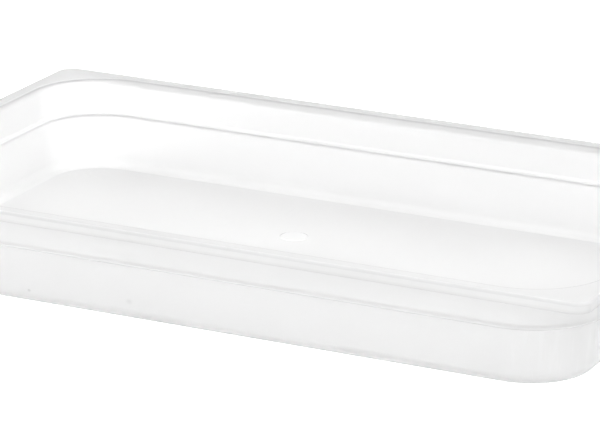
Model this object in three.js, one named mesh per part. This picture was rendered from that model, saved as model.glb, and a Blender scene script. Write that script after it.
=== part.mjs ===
import * as THREE from "three";

// A full-size gastronorm container, 65 mm deep: one thin moulding in natural polypropylene, open at the top.
// Millimetres, +Z up. The origin is the middle of the underside, X runs along the length and Y across it.
// The long sides face -Y and +Y. An inset is how far a point lies in from the rim's outer edge, in plan.

// Whole container
const LENGTH = 530;
const WIDTH = 325;
const HEIGHT = 65;

// Rim: a flat flange round the opening, whose outer edge turns down into a short skirt
const FLANGE_WIDTH = 10;
const FLANGE_THICKNESS = 2.4;
const RIM_CORNER = 11;
const RIM_EDGE_RADIUS = 2;
const SKIRT_HEIGHT = 7;
const SKIRT_THICKNESS = 2.2;
const SKIRT_FOOT_RADIUS = 0.6;
const OPENING_EDGE_RADIUS = 1.3;
const RIM_ROOT_RADIUS = 1;

// Walls: the upper wall steps in at the shoulder that the next container stacks on, and both walls lean in
const WALL_THICKNESS = 2.2;
const CORNER_CENTRE = 61;
const UPPER_LEAN = 1.9;
const SHOULDER_HEIGHT = 38.5;
const SHOULDER_WIDTH = 3.1;
const SHOULDER_FALL = 0.8;
const SHOULDER_RADIUS = 1.4;
const LOWER_LEAN = 3.7;

// Base
const BASE_THICKNESS = 2.4;
const BASE_FILLET_RADIUS = 9;

// Round mark on the floor, a shallow raised disc off the floor's middle
const MARK_X = -30;
const MARK_Y = 54;
const MARK_RADIUS = 10;
const MARK_HEIGHT = 0.4;
const MARK_SLOPE = 0.4;
const MARK_SIDES = 32;

// How finely the round stretches are divided
const CORNER_STEPS = 12;
const ARC_STEPS = { large: 7, middle: 5, small: 3 };

// The walls' outer face, from the flange down to the base, as (inset, height) points
const outerTop = FLANGE_WIDTH - WALL_THICKNESS;
const outerShoulder = outerTop + UPPER_LEAN;
const outerStep = outerShoulder + SHOULDER_WIDTH;
const outerWall = [
  new THREE.Vector2(outerTop, HEIGHT - FLANGE_THICKNESS),
  new THREE.Vector2(outerShoulder, SHOULDER_HEIGHT),
  new THREE.Vector2(outerStep, SHOULDER_HEIGHT - SHOULDER_FALL),
  new THREE.Vector2(outerStep + LOWER_LEAN, 0),
];

// The inner face lies one wall thickness further in, with its shoulder and floor as much higher.
const innerWall = outerWall.map(
  (point) => new THREE.Vector2(point.x + WALL_THICKNESS, point.y + WALL_THICKNESS),
);
innerWall[0].y = HEIGHT;
innerWall[3].y = BASE_THICKNESS;

// Points of the round that joins two straight stretches at a corner, from the first stretch to the second.
function roundCorner(before, corner, after, radius, steps) {
  const back = before.clone().sub(corner).normalize();
  const on = after.clone().sub(corner).normalize();
  const halfAngle = Math.acos(back.dot(on)) / 2;
  const middle = back.clone().add(on).normalize();
  const centre = corner.clone().addScaledVector(middle, radius / Math.sin(halfAngle));
  const reach = radius / Math.tan(halfAngle);
  const start = corner.clone().addScaledVector(back, reach).sub(centre);
  const end = corner.clone().addScaledVector(on, reach).sub(centre);
  const turn = Math.atan2(start.cross(end), start.dot(end));
  const points = [];
  for (let step = 0; step <= steps; step++) {
    const angle = (turn * step) / steps;
    points.push(start.clone().rotateAround(new THREE.Vector2(), angle).add(centre));
  }
  return points;
}

// One round for each inner point of a broken line. A radius of zero keeps the corner sharp.
function roundLine(line, rounds) {
  return rounds.flatMap(([radius, steps], index) => {
    const [before, corner, after] = line.slice(index, index + 3);
    return radius > 0 ? roundCorner(before, corner, after, radius, steps) : [corner];
  });
}

// Outer face from the base's flat middle up to the corner under the flange
const baseMiddle = new THREE.Vector2(CORNER_CENTRE, 0);
const skirtRoot = new THREE.Vector2(SKIRT_THICKNESS, HEIGHT - FLANGE_THICKNESS);
const outerFace = roundLine(
  [baseMiddle, ...outerWall.slice().reverse(), skirtRoot],
  [
    [BASE_FILLET_RADIUS, ARC_STEPS.large],
    [SHOULDER_RADIUS, ARC_STEPS.small],
    [SHOULDER_RADIUS, ARC_STEPS.small],
    [RIM_ROOT_RADIUS, ARC_STEPS.small],
  ],
);

// Skirt: down its inner face, round its foot, up its outer face and over the rim's top edge
const skirtFoot = HEIGHT - SKIRT_HEIGHT;
const skirtLine = [
  new THREE.Vector2(outerTop, HEIGHT - FLANGE_THICKNESS),
  skirtRoot,
  new THREE.Vector2(SKIRT_THICKNESS, skirtFoot),
  new THREE.Vector2(0, skirtFoot),
  new THREE.Vector2(0, HEIGHT),
  new THREE.Vector2(FLANGE_WIDTH, HEIGHT),
];
const skirtFace = roundLine(skirtLine, [
  [RIM_ROOT_RADIUS, ARC_STEPS.small],
  [SKIRT_FOOT_RADIUS, ARC_STEPS.small],
  [SKIRT_FOOT_RADIUS, ARC_STEPS.small],
  [RIM_EDGE_RADIUS, ARC_STEPS.middle],
]);

// Inner face from the opening's edge down to the flat floor
const innerFace = roundLine(
  [skirtLine[4], ...innerWall, new THREE.Vector2(CORNER_CENTRE, BASE_THICKNESS)],
  [
    [OPENING_EDGE_RADIUS, ARC_STEPS.middle],
    [SHOULDER_RADIUS, ARC_STEPS.small],
    [SHOULDER_RADIUS, ARC_STEPS.small],
    [BASE_FILLET_RADIUS - WALL_THICKNESS, ARC_STEPS.large],
  ],
);

// A rounded rectangle seen from above, counter-clockwise, at an inset and a height.
// The rim's outside turns on small corners. The walls turn on large ones that share their centres.
function planRing(inset, height, cornerCentre) {
  const radius = cornerCentre - inset;
  const x = LENGTH / 2 - cornerCentre;
  const y = WIDTH / 2 - cornerCentre;
  const centres = [[x, -y], [x, y], [-x, y], [-x, -y]];
  return centres.flatMap(([centreX, centreY], side) => {
    const points = [];
    for (let step = 0; step <= CORNER_STEPS; step++) {
      const angle = (Math.PI / 2) * (side - 1 + step / CORNER_STEPS);
      points.push(
        new THREE.Vector3(
          centreX + radius * Math.cos(angle),
          centreY + radius * Math.sin(angle),
          height,
        ),
      );
    }
    return points;
  });
}

// A circle on the floor round the mark's centre
function markRing(radius, height) {
  const points = [];
  for (let side = 0; side < MARK_SIDES; side++) {
    const angle = (2 * Math.PI * side) / MARK_SIDES;
    points.push(
      new THREE.Vector3(
        MARK_X + radius * Math.cos(angle),
        MARK_Y + radius * Math.sin(angle),
        height,
      ),
    );
  }
  return points;
}

// The moulding is one skin: out from the base's middle, over the rim, and in again to the mark's middle.
function buildContainer() {
  const positions = [];
  const faces = [];
  const addPoint = (point) => positions.push(point.x, point.y, point.z) / 3 - 1;
  const addRing = (points) => points.map(addPoint);

  // Joins two rings with the same number of points. The second is the next one along the skin.
  const joinRings = (first, second) => {
    first.forEach((corner, index) => {
      const next = (index + 1) % first.length;
      faces.push(corner, first[next], second[next]);
      faces.push(corner, second[next], second[index]);
    });
  };

  // Closes a ring with a flat fan round a middle point.
  const closeRing = (ring, middle, facesUp) => {
    const centre = addPoint(middle);
    ring.forEach((corner, index) => {
      const next = ring[(index + 1) % ring.length];
      faces.push(centre, facesUp ? corner : next, facesUp ? next : corner);
    });
  };

  const wallRing = (point) => addRing(planRing(point.x, point.y, CORNER_CENTRE));
  const rimRing = (point) => addRing(planRing(point.x, point.y, RIM_CORNER));
  const rings = [
    ...outerFace.map(wallRing),
    ...skirtFace.map(rimRing),
    ...innerFace.map(wallRing),
  ];
  rings.slice(1).forEach((ring, index) => joinRings(rings[index], ring));
  closeRing(rings[0], new THREE.Vector3(), false);

  // The floor lies between the innermost ring and the mark's foot.
  const floorEdge = rings.at(-1);
  const markFoot = addRing(markRing(MARK_RADIUS, BASE_THICKNESS));
  const planPoint = (index) => new THREE.Vector2(positions[3 * index], positions[3 * index + 1]);
  const floorPoints = [...floorEdge, ...markFoot];
  const floorFaces = THREE.ShapeUtils.triangulateShape(
    floorEdge.map(planPoint),
    [markFoot.map(planPoint)],
  );
  faces.push(...floorFaces.flat().map((index) => floorPoints[index]));

  const markHeight = BASE_THICKNESS + MARK_HEIGHT;
  const markTop = addRing(markRing(MARK_RADIUS - MARK_SLOPE, markHeight));
  joinRings(markFoot, markTop);
  closeRing(markTop, new THREE.Vector3(MARK_X, MARK_Y, markHeight), true);

  const geometry = new THREE.BufferGeometry();
  geometry.setAttribute("position", new THREE.Float32BufferAttribute(positions, 3));
  geometry.setIndex(faces);
  geometry.computeVertexNormals();
  return geometry;
}

// Natural polypropylene: colourless, milky and half clear, with a soft gloss
const polypropylene = new THREE.MeshStandardMaterial({
  color: 0xf2f2f1,
  roughness: 0.35,
  metalness: 0,
  transparent: true,
  opacity: 0.55,
});

const container = new THREE.Mesh(buildContainer(), polypropylene);
container.name = "container";

const gastronormContainer = new THREE.Group();
gastronormContainer.add(container);

export default gastronormContainer;
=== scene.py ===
import math

import bpy
from mathutils import Matrix, Vector


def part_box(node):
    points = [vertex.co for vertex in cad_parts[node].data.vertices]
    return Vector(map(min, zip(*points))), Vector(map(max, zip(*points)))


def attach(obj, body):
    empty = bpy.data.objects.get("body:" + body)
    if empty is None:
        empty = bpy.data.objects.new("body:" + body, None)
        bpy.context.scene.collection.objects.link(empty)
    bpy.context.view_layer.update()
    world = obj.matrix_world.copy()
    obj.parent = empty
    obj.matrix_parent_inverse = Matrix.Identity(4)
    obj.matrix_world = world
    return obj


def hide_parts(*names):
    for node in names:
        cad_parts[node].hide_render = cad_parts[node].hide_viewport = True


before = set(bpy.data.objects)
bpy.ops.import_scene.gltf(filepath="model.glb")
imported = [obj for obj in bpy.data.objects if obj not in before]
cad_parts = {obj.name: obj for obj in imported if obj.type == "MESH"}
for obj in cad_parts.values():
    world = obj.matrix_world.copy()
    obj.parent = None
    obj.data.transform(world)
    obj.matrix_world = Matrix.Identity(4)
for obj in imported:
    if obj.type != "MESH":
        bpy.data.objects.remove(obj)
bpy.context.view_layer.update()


# The container is one thin injection moulding in natural polypropylene, open at the top. Its skin follows
# one section line over the floor, inner face, rim, skirt, outer face and underside. Each stretch of that
# line is swept round the plan, and flat faces close what lies between the sweeps.

mm = 0.001
box_low, box_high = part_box("container")
length, width, height = box_high - box_low

flange_width = 10 * mm
flange_thickness = 2.4 * mm
flange_underside = height - flange_thickness
rim_corner = 11 * mm
rim_edge_radius = 2 * mm
skirt_height = 7 * mm
skirt_thickness = 2.2 * mm
skirt_foot_radius = 0.6 * mm
opening_edge_radius = 1.3 * mm
rim_root_radius = 1 * mm

wall_thickness = 2.2 * mm
wall_corner = 61 * mm
upper_lean = 1.9 * mm
shoulder_height = 38.5 * mm
shoulder_width = 3.1 * mm
shoulder_fall = 0.8 * mm
shoulder_radius = 1.4 * mm
lower_lean = 3.7 * mm

base_thickness = 2.4 * mm
base_fillet_radius = 9 * mm

mark_place = Vector((-30 * mm, 54 * mm, 0))
mark_radius = 10 * mm
mark_height = 0.4 * mm
mark_slope = 1.2 * mm
mark_edge_radius = 0.6 * mm
mark_sides = 64

# How much painted shade darkens each round; on the floor's rounded edge it also paints down a bright
# reflection.
opening_edge_shade = 0.45
rim_edge_shade = 0.2
skirt_foot_shade = 0.26
inner_step_shade = 0.03
outer_shoulder_shade = 0.12
floor_edge_shade = 0.4
floor_edge_darkest = 0.4
short_fade = 0.2 * mm
middle_fade = 1.0 * mm
long_fade = 1.8 * mm

wall_corner_steps = 24
rim_corner_steps = 14
side_cuts = 9
turn_per_step = math.radians(12)
fewest_steps = 3
weld_distance = 0.01 * mm


def round_line(corners):
    """Points along a line of (inset, height, radius, shade, fade) corners, with all but its ends rounded.
    Each point is (inset, height, shade). The shade says how strongly a round is darkened by painted shade,
    and it fades out over the flat stretches beside the round. The points where it ends also keep those
    stretches flat when they are shaded smooth. A sixth value makes the shade grow from nothing at both ends
    of the turn, and it is the part of the turn at which the shade is darkest."""
    places = [Vector(corner[:2]) for corner in corners]
    points = []
    for number in range(1, len(corners) - 1):
        corner = places[number]
        radius, shade, fade, *darkest = corners[number][2:]
        back = (places[number - 1] - corner).normalized()
        on = (places[number + 1] - corner).normalized()
        half_angle = back.angle(on) / 2
        centre = corner + (back + on).normalized() * radius / math.sin(half_angle)
        reach = radius / math.tan(half_angle)
        start = corner + back * reach - centre
        end = corner + on * reach - centre
        turn = math.atan2(start.x * end.y - start.y * end.x, start.dot(end))
        steps = max(fewest_steps, math.ceil(abs(turn) / turn_per_step))
        points.append((*(corner + back * (reach + fade)), 0))
        for step in range(steps + 1):
            part = step / steps
            share = 1
            if darkest:
                share = min(part / darkest[0], (1 - part) / (1 - darkest[0]))
            points.append((*(centre + Matrix.Rotation(turn * part, 2) @ start), shade * share))
        points.append((*(corner + on * (reach + fade)), 0))
    return points


outer_top = flange_width - wall_thickness
outer_shoulder = outer_top + upper_lean
outer_step = outer_shoulder + shoulder_width
outer_foot = outer_step + lower_lean
shoulder_foot = shoulder_height - shoulder_fall

inner_shoulder = outer_shoulder + wall_thickness
inner_step = outer_step + wall_thickness
inner_foot = outer_foot + wall_thickness
floor_edge_radius = base_fillet_radius - wall_thickness
skirt_foot = height - skirt_height
mark_top = base_thickness + mark_height

outer_face = round_line([
    (skirt_thickness, flange_underside),
    (outer_top, flange_underside, rim_root_radius, 0, short_fade),
    (outer_shoulder, shoulder_height, shoulder_radius, outer_shoulder_shade, middle_fade),
    (outer_step, shoulder_foot, shoulder_radius, 0, short_fade),
    (outer_foot, 0, base_fillet_radius, 0, short_fade),
    (wall_corner, 0),
])
inner_face = round_line([
    (wall_corner, base_thickness),
    (inner_foot, base_thickness, floor_edge_radius, floor_edge_shade, short_fade, floor_edge_darkest),
    (inner_step, shoulder_foot + wall_thickness, shoulder_radius, inner_step_shade, short_fade),
    (inner_shoulder, shoulder_height + wall_thickness, shoulder_radius, 0, short_fade),
    (flange_width, height, opening_edge_radius, opening_edge_shade, short_fade),
    (0, height),
])
rim_face = round_line([
    (flange_width, height),
    (0, height, rim_edge_radius, rim_edge_shade, short_fade),
    (0, skirt_foot, skirt_foot_radius, skirt_foot_shade, long_fade),
    (skirt_thickness, skirt_foot, skirt_foot_radius, 0, short_fade),
    (skirt_thickness, flange_underside, rim_root_radius, 0, short_fade),
    (outer_top, flange_underside),
])
mark_face = round_line([
    (mark_radius, mark_top),
    (mark_slope, mark_top, mark_edge_radius, 0, short_fade),
    (0, base_thickness, mark_edge_radius, 0, short_fade),
    (-mark_slope, base_thickness),
])

# The sweep lays a section's X outwards and its Y downwards, so both are turned round.
section_lines = {"walls": [inner_face, outer_face], "rim": [rim_face], "mark": [mark_face]}
path_numbers = {"walls": 0, "rim": 1, "mark": 2}
section_mesh = bpy.data.meshes.new("section")
section_points = []
section_edges = []
section_paths = []
section_shades = []
for path_name, lines in section_lines.items():
    for line in lines:
        first = len(section_points)
        section_points += [(-inset, -level, 0) for inset, level, _ in line]
        section_edges += [(first + step, first + step + 1) for step in range(len(line) - 1)]
        section_paths += [path_numbers[path_name]] * len(line)
        section_shades += [shade for _, _, shade in line]
section_mesh.from_pydata(section_points, section_edges, [])
section_mesh.attributes.new("path", "INT", "POINT").data.foreach_set("value", section_paths)
section_mesh.attributes.new("shade", "FLOAT", "POINT").data.foreach_set("value", section_shades)


def add_node(tree, kind, inputs=None, **settings):
    """Adds a node, sets its options, and links or sets its inputs by name or number."""
    node = tree.nodes.new(kind)
    for name, value in settings.items():
        setattr(node, name, value)
    for name, value in (inputs or {}).items():
        if isinstance(value, bpy.types.NodeSocket):
            tree.links.new(value, node.inputs[name])
        else:
            node.inputs[name].default_value = value
    return node


def new_group(name, kind, inputs, outputs):
    """An empty node group with these named sockets, and its input and output nodes."""
    tree = bpy.data.node_groups.new(name, kind)
    for in_out, sockets in (("INPUT", inputs), ("OUTPUT", outputs)):
        for socket_name, short_type in sockets.items():
            socket_type = "NodeSocket" + short_type
            tree.interface.new_socket(name=socket_name, in_out=in_out, socket_type=socket_type)
    return tree, tree.nodes.new("NodeGroupInput").outputs, tree.nodes.new("NodeGroupOutput").inputs


# Two whole numbers are the same where they lie less than a half apart.
same_number = 0.5

# Plan path: a rectangle with rounded corners, its straight sides cut up so that no face is too long.
path_tree, path_in, path_out = new_group(
    "Rounded plan",
    "GeometryNodeTree",
    {"Length": "Float", "Width": "Float", "Corner": "Float", "Corner Steps": "Int", "Side Cuts": "Int"},
    {"Path": "Geometry"},
)
rectangle = add_node(
    path_tree,
    "GeometryNodeCurvePrimitiveQuadrilateral",
    {"Width": path_in["Length"], "Height": path_in["Width"]},
    mode="RECTANGLE",
)
rounded = add_node(
    path_tree,
    "GeometryNodeFilletCurve",
    {"Curve": rectangle.outputs["Curve"], "Count": path_in["Corner Steps"], "Radius": path_in["Corner"]},
    mode="POLY",
)
corner_points = add_node(path_tree, "ShaderNodeMath", {0: path_in["Corner Steps"], 1: 1.0}, operation="ADD")
place_in_corner = add_node(
    path_tree,
    "ShaderNodeMath",
    {0: add_node(path_tree, "GeometryNodeInputIndex").outputs["Index"], 1: corner_points.outputs[0]},
    operation="MODULO",
)
starts_side = add_node(
    path_tree,
    "ShaderNodeMath",
    {0: place_in_corner.outputs[0], 1: path_in["Corner Steps"], 2: same_number},
    operation="COMPARE",
)
cuts = add_node(
    path_tree, "ShaderNodeMath", {0: starts_side.outputs[0], 1: path_in["Side Cuts"]}, operation="MULTIPLY"
)
cut_path = add_node(
    path_tree, "GeometryNodeSubdivideCurve", {"Curve": rounded.outputs["Curve"], "Cuts": cuts.outputs[0]}
)
path_tree.links.new(cut_path.outputs["Curve"], path_out["Path"])

# Flat face: fills the open edges that lie at one level, and faces up or down.
flat_tree, flat_in, flat_out = new_group(
    "Flat face at a level",
    "GeometryNodeTree",
    {"Sweeps": "Geometry", "Level": "Float", "Tolerance": "Float", "Faces Down": "Bool"},
    {"Face": "Geometry"},
)
edge_place = add_node(
    flat_tree,
    "ShaderNodeSeparateXYZ",
    {"Vector": add_node(flat_tree, "GeometryNodeInputPosition").outputs["Position"]},
)
at_level = add_node(
    flat_tree,
    "ShaderNodeMath",
    {0: edge_place.outputs["Z"], 1: flat_in["Level"], 2: flat_in["Tolerance"]},
    operation="COMPARE",
)
neighbours = add_node(flat_tree, "GeometryNodeInputMeshEdgeNeighbors")
is_open = add_node(
    flat_tree,
    "ShaderNodeMath",
    {0: neighbours.outputs["Face Count"], 1: 1.0, 2: same_number},
    operation="COMPARE",
)
open_at_level = add_node(
    flat_tree, "ShaderNodeMath", {0: at_level.outputs[0], 1: is_open.outputs[0]}, operation="MULTIPLY"
)
outline = add_node(
    flat_tree, "GeometryNodeMeshToCurve", {"Mesh": flat_in["Sweeps"], "Selection": open_at_level.outputs[0]}
)
filled = add_node(flat_tree, "GeometryNodeFillCurve", {"Curve": outline.outputs["Curve"]}, mode="TRIANGLES")
lift = add_node(flat_tree, "ShaderNodeCombineXYZ", {"Z": flat_in["Level"]})
lifted = add_node(
    flat_tree,
    "GeometryNodeSetPosition",
    {"Geometry": filled.outputs["Mesh"], "Offset": lift.outputs["Vector"]},
)
turned = add_node(
    flat_tree,
    "GeometryNodeFlipFaces",
    {"Mesh": lifted.outputs["Geometry"], "Selection": flat_in["Faces Down"]},
)
flat_tree.links.new(turned.outputs["Mesh"], flat_out["Face"])

# The moulding itself
moulding_sizes = {
    "Length": length,
    "Width": width,
    "Wall Corner": wall_corner,
    "Wall Corner Steps": wall_corner_steps,
    "Rim Corner": rim_corner,
    "Rim Corner Steps": rim_corner_steps,
    "Side Cuts": side_cuts,
    "Mark Place": mark_place,
    "Mark Radius": mark_radius,
    "Mark Sides": mark_sides,
    "Weld Distance": weld_distance,
}
flat_levels = {
    "Flange Top": (height, False),
    "Flange Underside": (flange_underside, True),
    "Floor": (base_thickness, False),
    "Mark Top": (mark_top, False),
    "Underside": (0.0, True),
}
socket_types = {float: "Float", int: "Int", Vector: "Vector"}
moulding_sockets = {"Section": "Geometry", "Material": "Material"}
moulding_sockets |= {name: socket_types[type(size)] for name, size in moulding_sizes.items()}
moulding_sockets |= {name: "Float" for name in flat_levels}
moulding_tree, moulding_in, moulding_out = new_group(
    "Container moulding", "GeometryNodeTree", moulding_sockets, {"Moulding": "Geometry"}
)


def plan_path(corner, steps):
    """The rim's rectangle with its corners rounded to this size."""
    sizes = {"Length": moulding_in["Length"], "Width": moulding_in["Width"], "Corner": moulding_in[corner]}
    sizes |= {"Corner Steps": moulding_in[steps], "Side Cuts": moulding_in["Side Cuts"]}
    path = moulding_tree.nodes.new("GeometryNodeGroup")
    path.node_tree = path_tree
    for name, socket in sizes.items():
        moulding_tree.links.new(socket, path.inputs[name])
    return path.outputs["Path"]


mark_ring = add_node(
    moulding_tree,
    "GeometryNodeCurvePrimitiveCircle",
    {"Resolution": moulding_in["Mark Sides"], "Radius": moulding_in["Mark Radius"]},
    mode="RADIUS",
)
mark_path = add_node(
    moulding_tree,
    "GeometryNodeTransform",
    {"Geometry": mark_ring.outputs["Curve"], "Translation": moulding_in["Mark Place"]},
)
paths = {
    "walls": plan_path("Wall Corner", "Wall Corner Steps"),
    "rim": plan_path("Rim Corner", "Rim Corner Steps"),
    "mark": mark_path.outputs["Geometry"],
}
path_number = add_node(moulding_tree, "GeometryNodeInputNamedAttribute", {"Name": "path"}, data_type="INT")
sweeps = add_node(moulding_tree, "GeometryNodeJoinGeometry")
for path_name, path in paths.items():
    own_lines = add_node(
        moulding_tree,
        "ShaderNodeMath",
        {0: path_number.outputs["Attribute"], 1: float(path_numbers[path_name]), 2: same_number},
        operation="COMPARE",
    )
    lines = add_node(
        moulding_tree,
        "GeometryNodeMeshToCurve",
        {"Mesh": moulding_in["Section"], "Selection": own_lines.outputs[0]},
    )
    sweep = add_node(
        moulding_tree, "GeometryNodeCurveToMesh", {"Curve": path, "Profile Curve": lines.outputs["Curve"]}
    )
    moulding_tree.links.new(sweep.outputs["Mesh"], sweeps.inputs["Geometry"])

skin = add_node(moulding_tree, "GeometryNodeJoinGeometry", {"Geometry": sweeps.outputs["Geometry"]})
for level_name, (_, faces_down) in flat_levels.items():
    flat = moulding_tree.nodes.new("GeometryNodeGroup")
    flat.node_tree = flat_tree
    moulding_tree.links.new(sweeps.outputs["Geometry"], flat.inputs["Sweeps"])
    moulding_tree.links.new(moulding_in[level_name], flat.inputs["Level"])
    moulding_tree.links.new(moulding_in["Weld Distance"], flat.inputs["Tolerance"])
    flat.inputs["Faces Down"].default_value = faces_down
    moulding_tree.links.new(flat.outputs["Face"], skin.inputs["Geometry"])

welded = add_node(
    moulding_tree,
    "GeometryNodeMergeByDistance",
    {"Geometry": skin.outputs["Geometry"], "Distance": moulding_in["Weld Distance"]},
    mode="ALL",
)
smooth = add_node(moulding_tree, "GeometryNodeSetShadeSmooth", {"Geometry": welded.outputs["Geometry"]})
realized = add_node(moulding_tree, "GeometryNodeRealizeInstances", {"Geometry": smooth.outputs["Geometry"]})
finished = add_node(
    moulding_tree,
    "GeometryNodeSetMaterial",
    {"Geometry": realized.outputs["Geometry"], "Material": moulding_in["Material"]},
)
moulding_tree.links.new(finished.outputs["Geometry"], moulding_out["Moulding"])

# Natural polypropylene is colourless and milky, half clear, with a soft moulded gloss.
plastic_ior = 1.49
clearness = 0.68
gloss = 1.0
gloss_roughness = 0.08
polypropylene = bpy.data.materials.new("natural_polypropylene")
polypropylene.use_nodes = True
plastic_tree = polypropylene.node_tree
plastic = plastic_tree.nodes["Principled BSDF"]
plastic.inputs["IOR"].default_value = plastic_ior
plastic.inputs["Transmission Weight"].default_value = clearness
plastic.inputs["Coat Weight"].default_value = gloss
plastic.inputs["Coat Roughness"].default_value = gloss_roughness
plastic.inputs["Coat IOR"].default_value = plastic_ior

# A tone is a grey, from 0, black, to 1, white.
body_tone = 0.97
# The rim tones and the front skirt tone carry painted shade.
front_rim_shaded_tone = 0.94
back_rim_shaded_tone = 0.80
front_skirt_shaded_tone = 0.965
back_skirt_tone = 0.99
mark_tone = 1.0
# The patch tone is painted light.
painted_patch_light = 1.0
speck_tone = 0.35
# The tone that the rounds' painted shade darkens towards.
painted_edge_shade_tone = 0.6

place = add_node(plastic_tree, "ShaderNodeTexCoord").outputs["Object"]
place_axes = add_node(plastic_tree, "ShaderNodeSeparateXYZ", {"Vector": place})
level = place_axes.outputs["Z"]


def ramp(value, start, end, low=0.0, high=1.0):
    """Turns a value into another range, smoothly, and holds it at both ends."""
    ranges = {"Value": value, "From Min": start, "From Max": end, "To Min": low, "To Max": high}
    node = add_node(plastic_tree, "ShaderNodeMapRange", ranges, interpolation_type="SMOOTHSTEP")
    return node.outputs["Result"]


def blend(factor, under, over):
    """Lays one value over another by a mask."""
    node = add_node(plastic_tree, "ShaderNodeMix", {"Factor": factor, "A": under, "B": over})
    return node.outputs["Result"]


def multiply(first, second):
    """The product of two values."""
    return add_node(plastic_tree, "ShaderNodeMath", {0: first, 1: second}, operation="MULTIPLY").outputs[0]


def add(first, second):
    """The sum of two values."""
    return add_node(plastic_tree, "ShaderNodeMath", {0: first, 1: second}, operation="ADD").outputs[0]


def noise(grains_per_metre, detail):
    """Noise with this many grains to the metre along X, Y and Z, and this many finer layers in it."""
    stretched = add_node(plastic_tree, "ShaderNodeMapping", {"Vector": place, "Scale": grains_per_metre})
    settings = {"Vector": stretched.outputs["Vector"], "Scale": 1.0, "Detail": detail, "Roughness": 0.55}
    return add_node(plastic_tree, "ShaderNodeTexNoise", settings).outputs["Fac"]


def spot(centre, size, core):
    """A mask that is full within the core's part of an oval spot and fades out to its edge."""
    offset = add_node(plastic_tree, "ShaderNodeVectorMath", {0: place, 1: centre}, operation="SUBTRACT")
    sizes = {0: offset.outputs[0], 1: size}
    scaled = add_node(plastic_tree, "ShaderNodeVectorMath", sizes, operation="DIVIDE")
    distance = add_node(plastic_tree, "ShaderNodeVectorMath", {0: scaled.outputs[0]}, operation="LENGTH")
    return ramp(distance.outputs["Value"], 1.0, core)


# The top of the rim is darkened with painted shade from the shadowed pocket under it, the more so towards
# the back, and its skirt is paler, with painted shade making it a little darker at the front.
skirt_foot_blur = 0.3 * mm
skirt_tone_starts = 0.5 * mm
skirt_tone_full = 2.5 * mm
rim_tone = ramp(place_axes.outputs["Y"], -width / 2, width / 2, front_rim_shaded_tone, back_rim_shaded_tone)
skirt_tone = ramp(place_axes.outputs["Y"], -width / 2, width / 2, front_skirt_shaded_tone, back_skirt_tone)
in_rim = ramp(level, skirt_foot - skirt_foot_blur, skirt_foot + skirt_foot_blur)
in_skirt = ramp(level, height - skirt_tone_starts, height - skirt_tone_full)
tone = blend(in_rim, body_tone, blend(in_skirt, rim_tone, skirt_tone))

# Milkiness varies a little over the moulding, from -1, clearer, to 1, milkier.
milk_grains = Vector((16, 16, 30))
milk_edge = (0.3, 0.7)
milk_tone_change = 0.008
milk = ramp(noise(milk_grains, detail=3.0), *milk_edge, low=-1.0, high=1.0)
tone = add(tone, multiply(milk, milk_tone_change))

# Below the shoulder, the corners carry upright streaks of painted light, standing in for light that shines
# through the walls there.
streak_grains = Vector((260, 260, 5))
streak_edge = (0.52, 0.66)
streak_light_change = 0.03
streak_fade = 12 * mm
below_shoulder_fade = 2 * mm
streaks = ramp(noise(streak_grains, detail=1.0), *streak_edge)
corner_masks = []
for axis_name, side in (("X", length), ("Y", width)):
    from_middle = add_node(
        plastic_tree, "ShaderNodeMath", {0: place_axes.outputs[axis_name]}, operation="ABSOLUTE"
    )
    corner_start = side / 2 - wall_corner
    corner_masks.append(ramp(from_middle.outputs[0], corner_start, corner_start + streak_fade))
below_shoulder = ramp(level, shoulder_height, shoulder_foot - below_shoulder_fade)
corner_light_streaks = multiply(multiply(streaks, below_shoulder), multiply(*corner_masks))
tone = add(tone, multiply(corner_light_streaks, streak_light_change))

# Use has left fine scuffs on the floor, the underside and the top of the rim: scratches in two directions,
# each kind in patches of its own. A row is the scratches' grains, where in their noise they start and are
# full, and the grains of the patches.
scuff_kinds = (
    (Vector((30, 1500, 30)), (0.66, 0.72), Vector((25, 25, 25))),
    (Vector((1300, 24, 30)), (0.67, 0.73), Vector((22, 27, 24))),
)
scuff_patch_edge = (0.5, 0.6)
scuff_tone_change = -0.03
floor_scuffs_full = 0.2 * mm
floor_scuffs_end = 0.6 * mm
rim_scuffs_full = 0.1 * mm
rim_scuffs_end = 0.5 * mm
scuff_layers = []
for scratch_grains, scratch_edge, patch_grains in scuff_kinds:
    scratches = ramp(noise(scratch_grains, detail=2.0), *scratch_edge)
    scuff_patches = ramp(noise(patch_grains, detail=2.0), *scuff_patch_edge)
    scuff_layers.append(multiply(scratches, scuff_patches))
on_floor = ramp(level, base_thickness + floor_scuffs_end, base_thickness + floor_scuffs_full)
on_rim = ramp(level, height - rim_scuffs_end, height - rim_scuffs_full)
scuffs = multiply(add(*scuff_layers), add(on_floor, on_rim))
tone = add(tone, multiply(scuffs, scuff_tone_change))

# The round mark is a paler disc.
mark_centre = mark_place + Vector((0, 0, mark_top))
mark_spread = 1.08
mark_core = 0.94
mark_size = Vector((mark_radius, mark_radius, mark_radius)) * mark_spread
tone = blend(spot(mark_centre, mark_size, mark_core), tone, mark_tone)

# Two soft patches of painted light under the front of the rim, where the rim focuses light onto the wall,
# are paler too.
front_wall = -width / 2 + outer_top + upper_lean / 2
patch_level = 50 * mm
patch_half_depth = 1.5 * mm
patch_half_height = 5 * mm
patch_core = 0.2
for patch_x, patch_half_length in ((-49.5 * mm, 30 * mm), (170.5 * mm, 26 * mm)):
    patch_centre = Vector((patch_x, front_wall, patch_level))
    patch_size = Vector((patch_half_length, patch_half_depth, patch_half_height))
    tone = blend(spot(patch_centre, patch_size, patch_core), tone, painted_patch_light)

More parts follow.
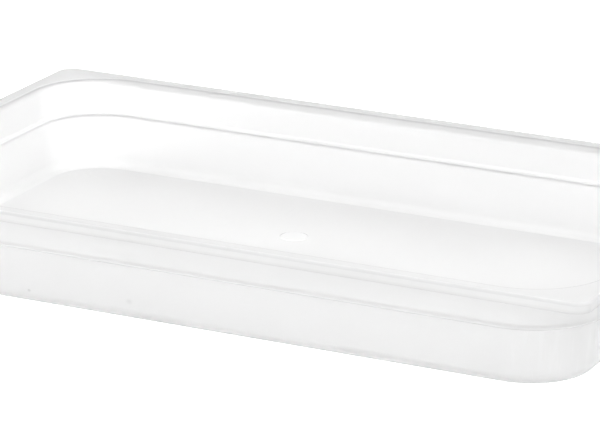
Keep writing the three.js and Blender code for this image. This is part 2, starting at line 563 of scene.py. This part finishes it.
# Two small dark specks sit low on the front wall, one crisp and one soft. Each row is a speck's place along
# the wall, level, half length, half height, core and strength.
specks_past_step = 2.6 * mm
low_front_wall = -width / 2 + outer_step + specks_past_step
speck_half_depth = 1.5 * mm
specks = (
    (-121.5 * mm, 9.2 * mm, 1.5 * mm, 1.2 * mm, 0.5, 0.36),
    (-49 * mm, 13.3 * mm, 3.2 * mm, 2.6 * mm, 0.1, 0.19),
)
for speck_x, speck_level, half_length, half_height, speck_core, speck_strength in specks:
    speck_centre = Vector((speck_x, low_front_wall, speck_level))
    speck_size = Vector((half_length, speck_half_depth, half_height))
    speck = multiply(spot(speck_centre, speck_size, speck_core), speck_strength)
    tone = blend(speck, tone, speck_tone)

# Rounds along the edges are darkened with painted shade, which on the floor's rounded edge also paints down
# a bright reflection. They do so only where light meets them outside the plastic.
shade = add_node(plastic_tree, "ShaderNodeAttribute", attribute_name="shade").outputs["Fac"]
from_inside = add_node(plastic_tree, "ShaderNodeNewGeometry").outputs["Backfacing"]
tone = blend(blend(from_inside, shade, 0.0), tone, painted_edge_shade_tone)
plastic_colour = add_node(plastic_tree, "ShaderNodeCombineColor", {"Red": tone, "Green": tone, "Blue": tone})
plastic_tree.links.new(plastic_colour.outputs["Color"], plastic.inputs["Base Color"])

# Milky places and scuffs are a little rougher.
body_roughness = 0.45
milk_roughness = 0.03
scuff_roughness = 0.15
roughness_changes = add(multiply(milk, milk_roughness), multiply(scuffs, scuff_roughness))
plastic_tree.links.new(add(roughness_changes, body_roughness), plastic.inputs["Roughness"])

# The moulded skin has a fine grain, and the scuffs are cut into it.
skin_grains = Vector((1400, 1400, 1400))
scuff_height = -1.0
relief_strength = 0.06
relief_depth = 0.1 * mm
skin = add(noise(skin_grains, detail=2.0), multiply(scuffs, scuff_height))
relief = add_node(
    plastic_tree,
    "ShaderNodeBump",
    {"Height": skin, "Strength": relief_strength, "Distance": relief_depth},
)
plastic_tree.links.new(relief.outputs["Normal"], plastic.inputs["Normal"])

# The finished moulding
container = bpy.data.objects.new("container_moulding", section_mesh)
bpy.context.collection.objects.link(container)
moulding = container.modifiers.new("moulding", "NODES")
moulding.node_group = moulding_tree
moulding_values = moulding_sizes | {name: flat_level for name, (flat_level, _) in flat_levels.items()}
moulding_values["Material"] = polypropylene
for item in moulding_tree.interface.items_tree:
    if item.in_out == "INPUT" and item.name in moulding_values:
        moulding[item.identifier] = moulding_values[item.name]
evaluated = container.evaluated_get(bpy.context.evaluated_depsgraph_get())
container_mesh = bpy.data.meshes.new_from_object(evaluated)
container.modifiers.remove(moulding)

# The plain mesh comes out with an empty material slot, so it gets the plastic again.
container_mesh.materials.clear()
container_mesh.materials.append(polypropylene)
container.data = container_mesh
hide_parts("container")
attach(container, "root")


# The table is a plain pale sheet, lit from below until it looks white. The light that it gives the plastic
# is weaker and uneven: brighter at the container's left end and beyond, and dimmer past its right end.

half_table = 4.0
table_drop = 0.2 * mm
table_grey = (0.5, 0.5, 0.5, 1)
table_roughness = 0.9
table_corners = [(-1, -1), (1, -1), (1, 1), (-1, 1)]
table_points = [(x * half_table, y * half_table, -table_drop) for x, y in table_corners]
table_mesh = bpy.data.meshes.new("table")
table_mesh.from_pydata(table_points, [], [(0, 1, 2, 3)])
table = bpy.data.objects.new("table", table_mesh)
bpy.context.collection.objects.link(table)
table_finish = bpy.data.materials.new("pale_table")
table_finish.use_nodes = True
table_tree = table_finish.node_tree
table_surface = table_tree.nodes["Principled BSDF"]
table_surface.inputs["Base Color"].default_value = table_grey
table_surface.inputs["Roughness"].default_value = table_roughness
table_surface.inputs["Emission Color"].default_value = (1, 1, 1, 1)

# Each row of changes is where along X one starts, where it is whole, and how much it adds.
seen_glow = 0.8
near_glow = 0.54
glow_changes = [(-0.18, -0.26, 0.38), (0.24, 0.34, -0.26)]
across = add_node(
    table_tree,
    "ShaderNodeSeparateXYZ",
    {"Vector": add_node(table_tree, "ShaderNodeTexCoord").outputs["Object"]},
).outputs["X"]
glow = near_glow
for start, end, change in glow_changes:
    step = add_node(
        table_tree,
        "ShaderNodeMapRange",
        {"Value": across, "From Min": start, "From Max": end, "To Min": 0.0, "To Max": change},
        interpolation_type="SMOOTHSTEP",
    )
    total = add_node(table_tree, "ShaderNodeMath", {0: glow, 1: step.outputs["Result"]}, operation="ADD")
    glow = total.outputs[0]
seen = add_node(table_tree, "ShaderNodeLightPath").outputs["Is Camera Ray"]
table_glow = add_node(table_tree, "ShaderNodeMix", {"Factor": seen, "A": glow, "B": seen_glow})
table_tree.links.new(table_glow.outputs["Result"], table_surface.inputs["Emission Strength"])
table.data.materials.append(table_finish)


# The camera stands high and far off, in front of the right-hand corner, with a long lens. It is turned a
# little about its own axis, and its frame cuts off both ends of the container.

camera_azimuth = math.radians(25.374)
camera_elevation = math.radians(17.36)
camera_roll = math.radians(0.816)
camera_distance = 2.56127
camera_target = Vector((-0.000485, 0.000691, 0.038458))
photo_width = 600
focal_length_in_pixels = 3895.5
sensor_width = 36
camera_back = Vector((
    math.sin(camera_azimuth) * math.cos(camera_elevation),
    -math.cos(camera_azimuth) * math.cos(camera_elevation),
    math.sin(camera_elevation),
))
camera_right = (-camera_back).cross(Vector((0, 0, 1))).normalized()
camera_up = camera_right.cross(-camera_back)
rolled_right = math.cos(camera_roll) * camera_right + math.sin(camera_roll) * camera_up
rolled_up = math.cos(camera_roll) * camera_up - math.sin(camera_roll) * camera_right
camera_turn = Matrix((rolled_right, rolled_up, camera_back)).transposed().to_4x4()
camera_data = bpy.data.cameras.new("camera")
camera_data.sensor_width = sensor_width
camera_data.lens = focal_length_in_pixels / photo_width * sensor_width
camera_data.clip_start = 0.05
camera_data.clip_end = 50
camera = bpy.data.objects.new("camera", camera_data)
bpy.context.collection.objects.link(camera)
camera.matrix_world = Matrix.Translation(camera_target + camera_back * camera_distance) @ camera_turn
bpy.context.scene.camera = camera


# The studio light is a soft white tent round the table. It is brightest overhead, brighter on the camera's
# right than on its left, and a little dimmer in two places low down, behind the container and on its right.

world = bpy.data.worlds.new("studio")
world.use_nodes = True
bpy.context.scene.world = world
world_tree = world.node_tree
background = world_tree.nodes["Background"]
background.inputs["Color"].default_value = (1, 1, 1, 1)
direction = add_node(world_tree, "ShaderNodeTexCoord").outputs["Generated"]
upwards = Vector((0, 0, 1))
flat_back = Vector((-math.sin(camera_azimuth), math.cos(camera_azimuth), 0))
dim_elevation = math.radians(18)
low_behind = flat_back * math.cos(dim_elevation) + upwards * math.sin(dim_elevation)
low_right = (flat_back * 0.5 + camera_right * 0.8 + upwards * 0.2).normalized()

# Each row is a direction, the cosines to it at which a change starts and is whole, and how much it adds.
tent_light = 0.0
tent_changes = [
    (upwards, 0.0, 0.7, 1.54),
    (upwards, 0.88, 0.96, 0.5),
    (camera_right, -1.0, 1.0, 0.5),
    (low_behind, 0.7, 1.0, -0.14),
    (low_right, 0.6, 1.0, -0.15),
]
for axis, start, end, change in tent_changes:
    towards = add_node(world_tree, "ShaderNodeVectorMath", {0: direction, 1: axis}, operation="DOT_PRODUCT")
    step = add_node(
        world_tree,
        "ShaderNodeMapRange",
        {
            "Value": towards.outputs["Value"],
            "From Min": start,
            "From Max": end,
            "To Min": 0.0,
            "To Max": change,
        },
    )
    total = add_node(
        world_tree, "ShaderNodeMath", {0: tent_light, 1: step.outputs["Result"]}, operation="ADD"
    )
    tent_light = total.outputs[0]
world_tree.links.new(tent_light, background.inputs["Strength"])

# Colours are shown as they are, so that the white table stays white.
bpy.context.scene.view_settings.view_transform = "Standard"
